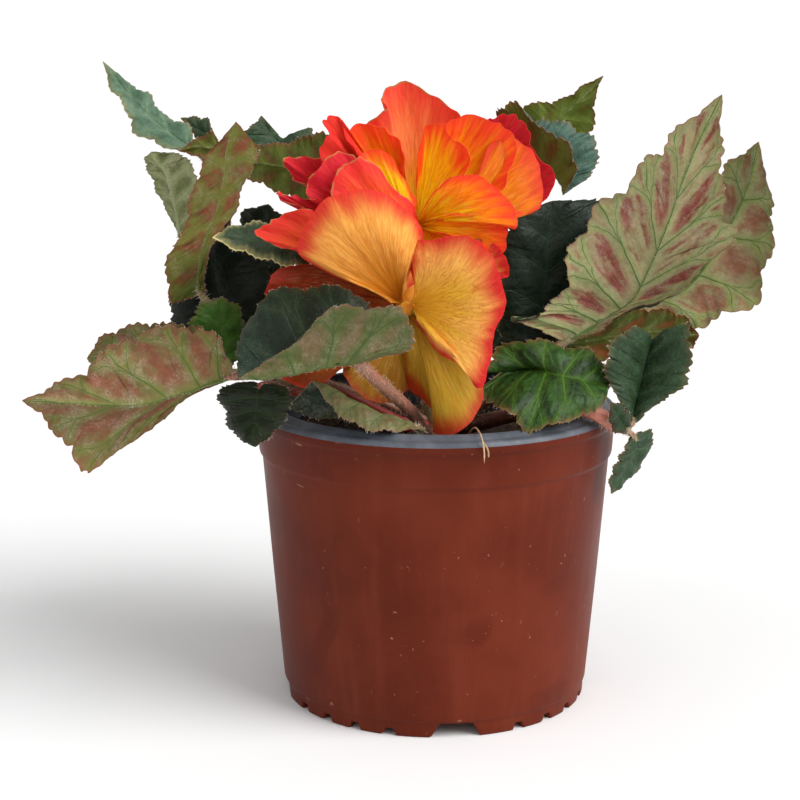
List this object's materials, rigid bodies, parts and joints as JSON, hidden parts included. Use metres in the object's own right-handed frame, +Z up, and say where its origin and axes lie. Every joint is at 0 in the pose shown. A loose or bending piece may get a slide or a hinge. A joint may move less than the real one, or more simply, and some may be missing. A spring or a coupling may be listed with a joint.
{
  "type": "potted begonia",
  "caption": "Tuberous begonia with a double yellow and red flower, toothed green leaves on fleshy stalks and a round brown plastic nursery pot filled with soil.",
  "frame": {"origin": "centre of the pot's foot, on the surface it stands on", "axes": "+Z up along the pot's axis, -Y towards the side the flower faces, +X to the right seen from that side"},
  "size_m": [0.2684, 0.1806, 0.2333],
  "materials": {
    "pot": "satin, scuffed",
    "soil": "matt, crumbly",
    "stem": "satin, hairy",
    "leaf": "glossy above, matt below",
    "petal": "soft, silky"
  },
  "bodies": {
    "root": {"pot": "pot", "soil": "soil", "stems": "stem", "bloom": "petal", "leaf_low_left": "leaf", "leaf_low_left_back": "leaf", "leaf_over_rim_left": "leaf", "leaf_front_fold": "leaf", "leaf_rim_front": "leaf", "leaf_glossy_right": "leaf", "leaf_right_fold": "leaf", "leaf_right_hanging": "leaf", "leaf_right_stipule": "leaf", "leaf_big_right": "leaf", "leaf_far_right": "leaf", "leaf_right_under": "leaf", "leaf_dark_right": "leaf", "leaf_top_right_roll": "leaf", "leaf_top_right_back": "leaf", "leaf_top_left": "leaf", "leaf_top_left_small": "leaf", "leaf_brown_left": "leaf", "leaf_left_pale": "leaf", "leaf_left_tall": "leaf", "leaf_behind_left": "leaf", "leaf_top_mid": "leaf", "leaf_yellow_edge": "leaf", "leaf_left_back": "leaf", "leaf_left_dark": "leaf", "leaf_left_green": "leaf", "leaf_back_left": "leaf", "leaf_back_mid_left": "leaf", "leaf_back_mid_right": "leaf", "leaf_back_right": "leaf"}
  },
  "joints": []
}
